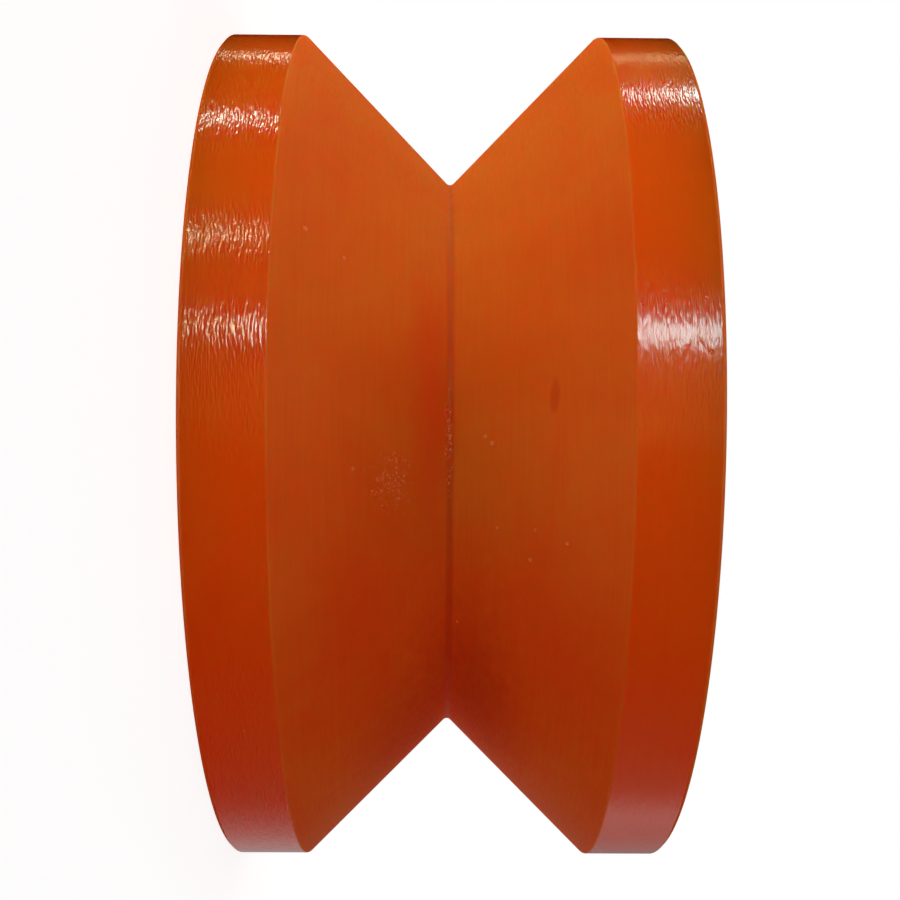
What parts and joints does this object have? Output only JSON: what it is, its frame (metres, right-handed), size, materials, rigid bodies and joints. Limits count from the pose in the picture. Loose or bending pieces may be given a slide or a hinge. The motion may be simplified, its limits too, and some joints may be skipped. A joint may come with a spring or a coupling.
{
  "type": "polyurethane mooring roller",
  "caption": "Cylindrical polyurethane roller with a wide turned V groove, narrow lands, flat end faces and a plain pin bore.",
  "frame": {"origin": "middle of the pin bore, half way between the two end faces", "axes": "+Z along the roller's axis, out of its upper end face; the roller stands on its lower end face"},
  "size_m": [0.1, 0.1, 0.05],
  "materials": {
    "polyurethane": "satin"
  },
  "bodies": {
    "root": {"roller": "polyurethane"}
  },
  "joints": []
}
